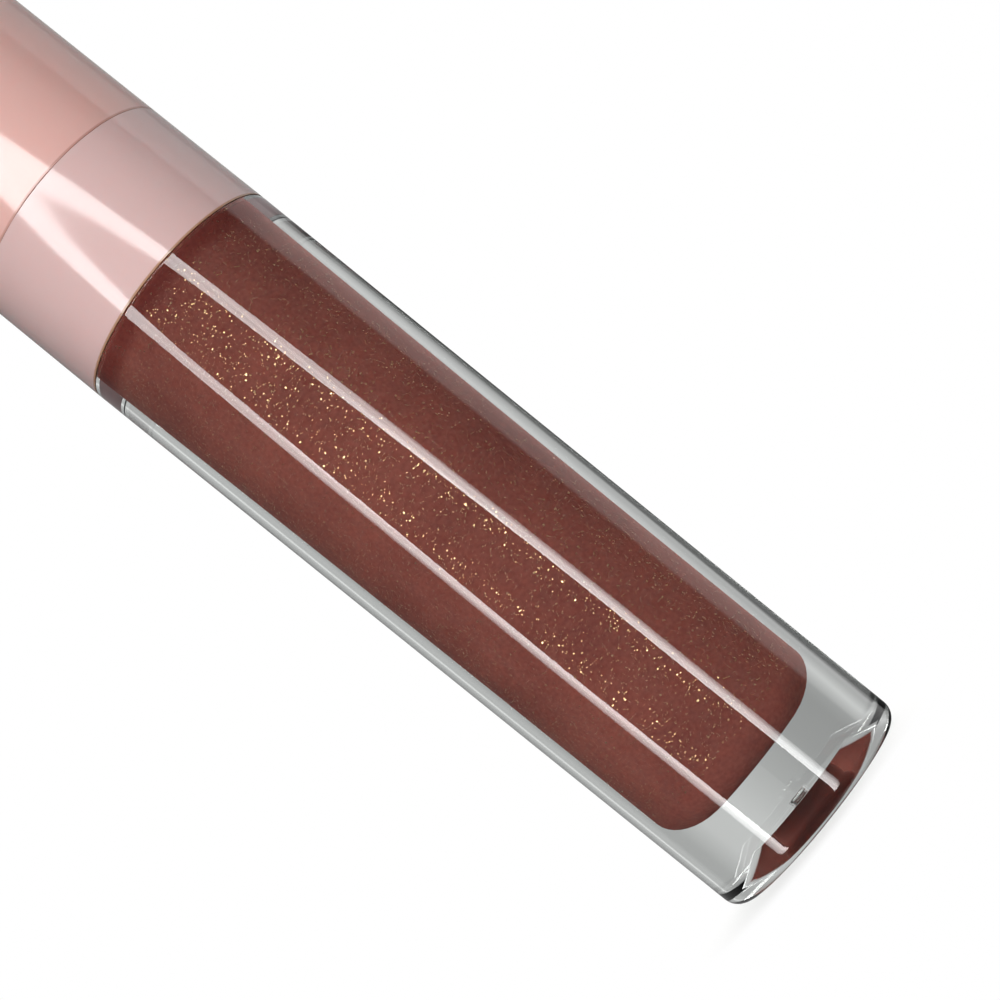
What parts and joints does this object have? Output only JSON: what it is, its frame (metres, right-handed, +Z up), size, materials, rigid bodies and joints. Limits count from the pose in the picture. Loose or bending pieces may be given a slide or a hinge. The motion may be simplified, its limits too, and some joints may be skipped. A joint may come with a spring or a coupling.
{
  "type": "lip gloss tube",
  "caption": "Slim round lip gloss tube: thick-walled clear bottle, flush collar, and a screw cap that lifts out a wand with a slanted flocked tip.",
  "frame": {"origin": "centre of the foot, on the surface the bottle stands on", "axes": "+Z up along the tube's axis, from the foot through the collar to the cap's top; +X is the side to which the applicator's slanted face looks"},
  "size_m": [0.017, 0.017, 0.1055],
  "materials": {
    "clear_plastic": "clear PETG, injection moulded, polished",
    "glitter_gloss": "brown mauve lip gloss with fine gold glitter",
    "wiper_plastic": "natural LDPE, satin",
    "collar_pink": "pale greyed pink ABS, high gloss",
    "seal_foam": "off-white expanded polyethylene, matt",
    "cap_pink": "peach pink ABS, high gloss",
    "liner_plastic": "off-white polypropylene, satin",
    "stem_plastic": "natural polypropylene rod, smooth",
    "flock": "nylon flock, wetted by gloss"
  },
  "bodies": {
    "tube": {"bottle": "clear_plastic", "gloss_fill": "glitter_gloss", "wiper": "wiper_plastic", "collar": "collar_pink"},
    "seal": {"sealing_ring": "seal_foam"},
    "cap": {"outer_cap": "cap_pink", "inner_cap": "liner_plastic", "wand_stem": "stem_plastic", "applicator": "flock"}
  },
  "joints": [
    {"name": "cap_lift", "type": "slide", "parent": "tube", "child": "seal", "axis": [0, 0, 1], "range_m": [0, 0.08]},
    {"name": "cap_turn", "type": "hinge", "parent": "seal", "child": "cap", "pos_m": [0, 0, 0.0762], "axis": [0, 0, 1], "range_deg": [0, 540]}
  ]
}
